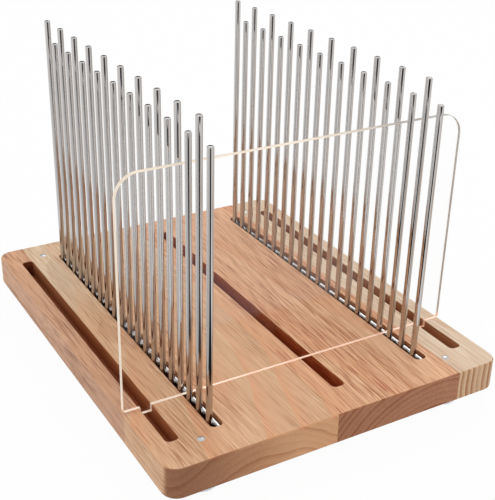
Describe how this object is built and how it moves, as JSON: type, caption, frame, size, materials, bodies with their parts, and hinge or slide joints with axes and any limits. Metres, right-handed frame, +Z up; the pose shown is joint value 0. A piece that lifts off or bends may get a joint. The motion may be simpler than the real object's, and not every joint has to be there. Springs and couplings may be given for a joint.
{
  "type": "bread slicer guide",
  "caption": "Wooden board on clear feet with two combs of upright steel rods that guide a bread knife, and a clear lift-out stop plate between the rods.",
  "frame": {"origin": "middle of the footprint, at the level that the feet stand on", "axes": "+Z up, -Y towards the front edge of the board, +X to the right; the combs run along Y"},
  "size_m": [0.24, 0.3, 0.2138],
  "materials": {
    "wood_pink_tan": "oiled, fine long grain",
    "wood_light_tan": "oiled, fine long grain",
    "wood_red_tan": "oiled, streaked grain",
    "wood_pale": "oiled, striped end grain",
    "polished_steel": "mirror-polished stainless steel",
    "screw_steel": "bright plated steel",
    "clear_acrylic": "clear, polished edges",
    "clear_foot": "clear soft plastic"
  },
  "bodies": {
    "board_and_combs": {"stave_left_edge": "wood_pink_tan", "stave_left": "wood_light_tan", "stave_right": "wood_red_tan", "stave_right_edge": "wood_pale", "comb_rail_left": "polished_steel", "comb_rail_right": "polished_steel", "guide_rod_left_01": "polished_steel", "guide_rod_left_02": "polished_steel", "guide_rod_left_03": "polished_steel", "guide_rod_left_04": "polished_steel", "guide_rod_left_05": "polished_steel", "guide_rod_left_06": "polished_steel", "guide_rod_left_07": "polished_steel", "guide_rod_left_08": "polished_steel", "guide_rod_left_09": "polished_steel", "guide_rod_left_10": "polished_steel", "guide_rod_left_11": "polished_steel", "guide_rod_left_12": "polished_steel", "guide_rod_left_13": "polished_steel", "guide_rod_left_14": "polished_steel", "guide_rod_left_15": "polished_steel", "guide_rod_left_16": "polished_steel", "guide_rod_left_17": "polished_steel", "guide_rod_left_18": "polished_steel", "guide_rod_left_19": "polished_steel", "guide_rod_left_20": "polished_steel", "guide_rod_right_01": "polished_steel", "guide_rod_right_02": "polished_steel", "guide_rod_right_03": "polished_steel", "guide_rod_right_04": "polished_steel", "guide_rod_right_05": "polished_steel", "guide_rod_right_06": "polished_steel", "guide_rod_right_07": "polished_steel", "guide_rod_right_08": "polished_steel", "guide_rod_right_09": "polished_steel", "guide_rod_right_10": "polished_steel", "guide_rod_right_11": "polished_steel", "guide_rod_right_12": "polished_steel", "guide_rod_right_13": "polished_steel", "guide_rod_right_14": "polished_steel", "guide_rod_right_15": "polished_steel", "guide_rod_right_16": "polished_steel", "guide_rod_right_17": "polished_steel", "guide_rod_right_18": "polished_steel", "guide_rod_right_19": "polished_steel", "guide_rod_right_20": "polished_steel", "foot_front_left": "clear_foot", "foot_front_right": "clear_foot", "foot_back_left": "clear_foot", "foot_back_right": "clear_foot", "foot_screw_front_left": "screw_steel", "foot_screw_front_right": "screw_steel", "foot_screw_back_left": "screw_steel", "foot_screw_back_right": "screw_steel"},
    "stop_plate": {"stop_plate": "clear_acrylic"}
  },
  "joints": [
    {"name": "stop_plate_lift", "type": "slide", "parent": "board_and_combs", "child": "stop_plate", "axis": [0, 0, 1], "range_m": [0, 0.19]}
  ]
}
